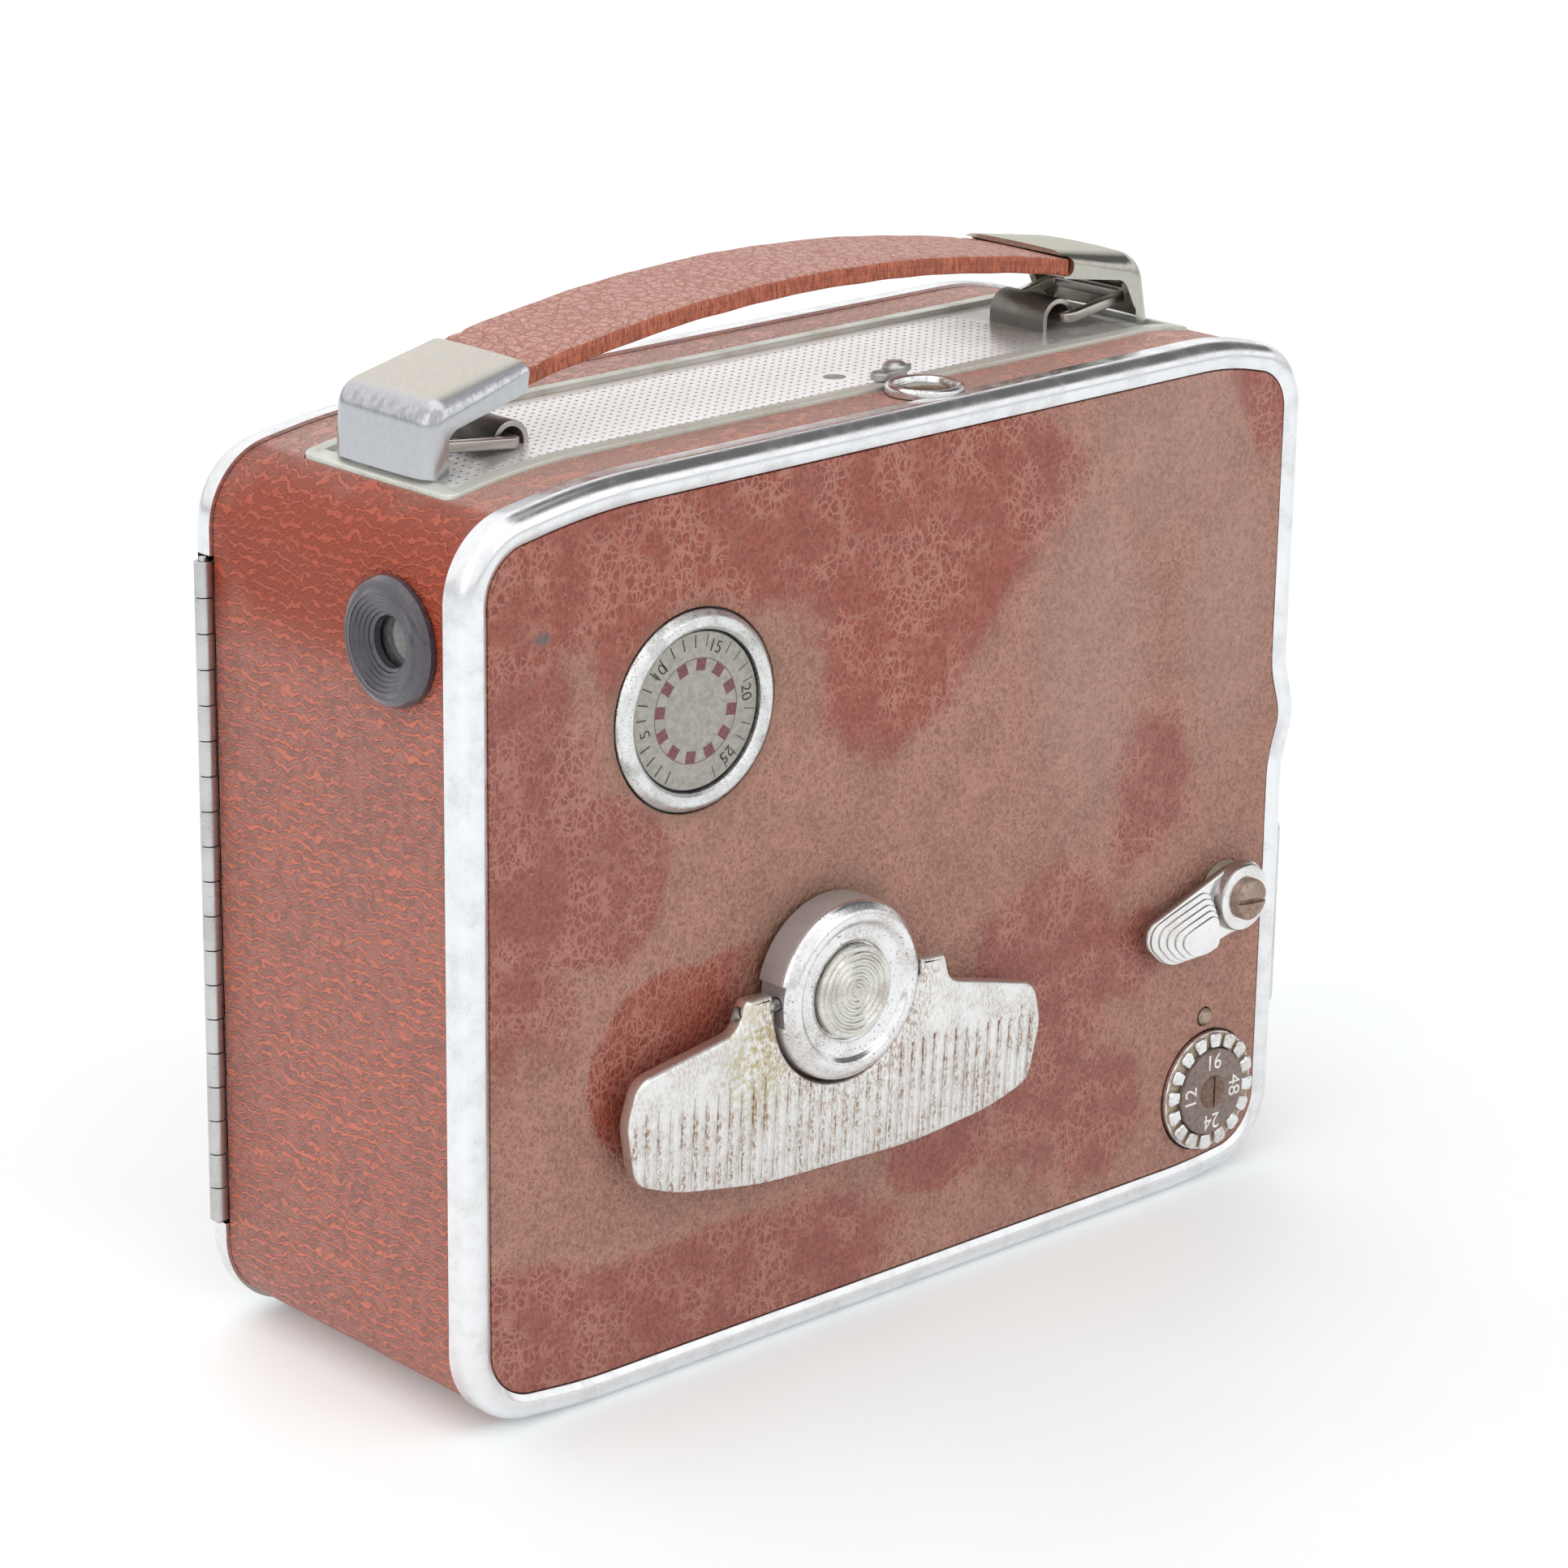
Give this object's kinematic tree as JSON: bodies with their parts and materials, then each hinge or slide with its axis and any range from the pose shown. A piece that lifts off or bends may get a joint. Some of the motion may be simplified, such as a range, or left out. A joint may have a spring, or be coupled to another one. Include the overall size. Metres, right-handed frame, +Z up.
{
  "type": "cine camera",
  "caption": "Leather-covered spring-wound film camera with a folding winding key, hinged film door, dials, lens and lifting carry handle.",
  "frame": {"origin": "on the base plane, on the base plate under the middle of the body", "axes": "+X towards the lens end, +Y towards the film door, +Z up; the winding key is on the -Y face"},
  "size_m": [0.1568, 0.0635, 0.1328],
  "materials": {
    "leather": "grained leatherette",
    "bright_metal": "polished",
    "satin_metal": "worn satin",
    "pale_metal": "pale satin",
    "dark_steel": "dark",
    "black_paint": "matt black",
    "bakelite": "dark moulded",
    "brass": "machined",
    "glass": "clear coated",
    "olive_glass": "aged, olive",
    "dial_grey": "worn satin",
    "dial_brown": "enamelled",
    "film_black": "film base"
  },
  "bodies": {
    "camera_body": {"body_shell": "dark_steel", "leather_wrap": "leather", "key_side_panel": "dark_steel", "key_side_covering": "leather", "key_side_trim": "bright_metal", "front_plate": "satin_metal", "base_plate": "satin_metal", "tripod_bush": "brass", "hinge_body_leaf": "bright_metal", "hinge_pin": "dark_steel", "top_frame": "pale_metal", "top_plate": "pale_metal", "hook_front": "dark_steel", "hook_rear": "dark_steel", "top_window_ring": "bright_metal", "top_window_glass": "olive_glass", "eyepiece_cup": "bakelite", "eyepiece_lens": "glass", "finder_tube": "black_paint", "finder_front_lens": "glass", "dial_bezel": "bright_metal", "mechanism_plate": "black_paint", "supply_spindle": "bright_metal", "film_gate": "bright_metal", "lens_mount": "bright_metal", "lens_barrel": "black_paint", "front_lens_element": "glass", "rear_lens_element": "glass"},
    "film_door": {"door_panel": "black_paint", "door_covering": "leather", "door_trim": "bright_metal", "hinge_door_leaf": "bright_metal"},
    "door_latch": {"door_latch": "bright_metal"},
    "handle": {"handle_strap": "leather", "handle_cap_front": "satin_metal", "handle_cap_rear": "satin_metal"},
    "front_link": {"ring_front": "satin_metal"},
    "rear_link": {"ring_rear": "satin_metal"},
    "winding_key": {"key_hub": "bright_metal", "key_button": "satin_metal", "key_hinge_pin": "dark_steel", "winding_arbor": "dark_steel"},
    "folding_wing": {"key_wing": "bright_metal"},
    "spring_motor": {"spring_barrel": "brass", "mainspring": "dark_steel"},
    "takeup_reel": {"takeup_spool": "satin_metal", "takeup_film_roll": "film_black", "takeup_drive": "brass"},
    "supply_reel": {"supply_spool": "satin_metal", "supply_film_roll": "film_black"},
    "shutter": {"shutter_disc": "black_paint"},
    "film_claw": {"claw": "bright_metal"},
    "film_pad": {"pressure_pad": "black_paint"},
    "run_release": {"run_lever": "bright_metal", "lever_screw": "bright_metal"},
    "speed_dial": {"speed_dial_ring": "bright_metal", "speed_dial_face": "dial_brown"},
    "footage_counter": {"footage_dial": "dial_grey"},
    "aperture": {"aperture_ring": "satin_metal"},
    "catch": {"top_catch": "satin_metal"}
  },
  "joints": [
    {"name": "film_door_swing", "type": "hinge", "parent": "camera_body", "child": "film_door", "pos_m": [-0.0708, 0.0236, 0], "axis": [0, 0, 1], "range_deg": [0, 110]},
    {"name": "door_latch_turn", "type": "hinge", "parent": "film_door", "child": "door_latch", "pos_m": [0.06, 0, 0.06], "axis": [0, 1, 0], "range_deg": [0, 90]},
    {"name": "handle_lift", "type": "slide", "parent": "camera_body", "child": "handle", "axis": [0, 0, 1], "range_m": [0, 0.004]},
    {"name": "front_link_swing", "type": "hinge", "parent": "camera_body", "child": "front_link", "pos_m": [0.0479, 0, 0.1201], "axis": [0, -1, 0], "range_deg": [0, 27]},
    {"name": "rear_link_swing", "type": "hinge", "parent": "camera_body", "child": "rear_link", "pos_m": [-0.0461, 0, 0.1174], "axis": [0, 1, 0], "range_deg": [0, 22]},
    {"name": "key_turn", "type": "hinge", "parent": "camera_body", "child": "winding_key", "pos_m": [-0.0134, 0, 0.0471], "axis": [0, -1, 0], "continuous": true},
    {"name": "wing_fold", "type": "hinge", "parent": "winding_key", "child": "folding_wing", "pos_m": [-0.01341, -0.03, 0.0468], "axis": [-0.999, 0, 0.0454], "range_deg": [0, 95]},
    {"name": "barrel_spin", "type": "hinge", "parent": "camera_body", "child": "spring_motor", "pos_m": [-0.0134, 0, 0.0471], "axis": [0, 1, 0], "continuous": true},
    {"name": "takeup_spin", "type": "hinge", "parent": "camera_body", "child": "takeup_reel", "pos_m": [-0.006, 0, 0.034], "axis": [0, 1, 0], "continuous": true},
    {"name": "supply_spin", "type": "hinge", "parent": "camera_body", "child": "supply_reel", "pos_m": [-0.0348, 0, 0.0863], "axis": [0, 1, 0], "continuous": true},
    {"name": "shutter_spin", "type": "hinge", "parent": "camera_body", "child": "shutter", "pos_m": [0, -0.005, 0.0654], "axis": [1, 0, 0], "continuous": true},
    {"name": "claw_stroke", "type": "slide", "parent": "camera_body", "child": "film_claw", "axis": [0, 0, 1], "range_m": [-0.0019, 0.0019]},
    {"name": "pad_press", "type": "slide", "parent": "camera_body", "child": "film_pad", "axis": [-1, 0, 0], "range_m": [0, 0.0015], "stiffness_N_per_m": 200},
    {"name": "run_lever_press", "type": "hinge", "parent": "camera_body", "child": "run_release", "pos_m": [0.0611, 0, 0.0424], "axis": [0, 1, 0], "range_deg": [-14, 8], "stiffness_Nm_per_rad": 0.08},
    {"name": "speed_dial_turn", "type": "hinge", "parent": "camera_body", "child": "speed_dial", "pos_m": [0.0595, 0, 0.0137], "axis": [0, -1, 0], "range_deg": [0, 270]},
    {"name": "footage_turn", "type": "hinge", "parent": "camera_body", "child": "footage_counter", "pos_m": [-0.0348, 0, 0.0863], "axis": [0, -1, 0], "range_deg": [0, 330]},
    {"name": "aperture_turn", "type": "hinge", "parent": "camera_body", "child": "aperture", "pos_m": [0, 0.007, 0.0654], "axis": [1, 0, 0], "range_deg": [0, 120]},
    {"name": "catch_turn", "type": "hinge", "parent": "camera_body", "child": "catch", "pos_m": [0.0079, -0.0124, 0], "axis": [0, 0, 1], "range_deg": [0, 60]}
  ],
  "couplings": [
    {"joint": "front_link_swing", "follows": "handle_lift", "rad_per_m": 98.7},
    {"joint": "rear_link_swing", "follows": "handle_lift", "rad_per_m": 76.1},
    {"joint": "takeup_spin", "follows": "barrel_spin", "ratio": 2.36},
    {"joint": "supply_spin", "follows": "barrel_spin", "ratio": 1.4},
    {"joint": "shutter_spin", "follows": "barrel_spin", "ratio": 8}
  ]
}
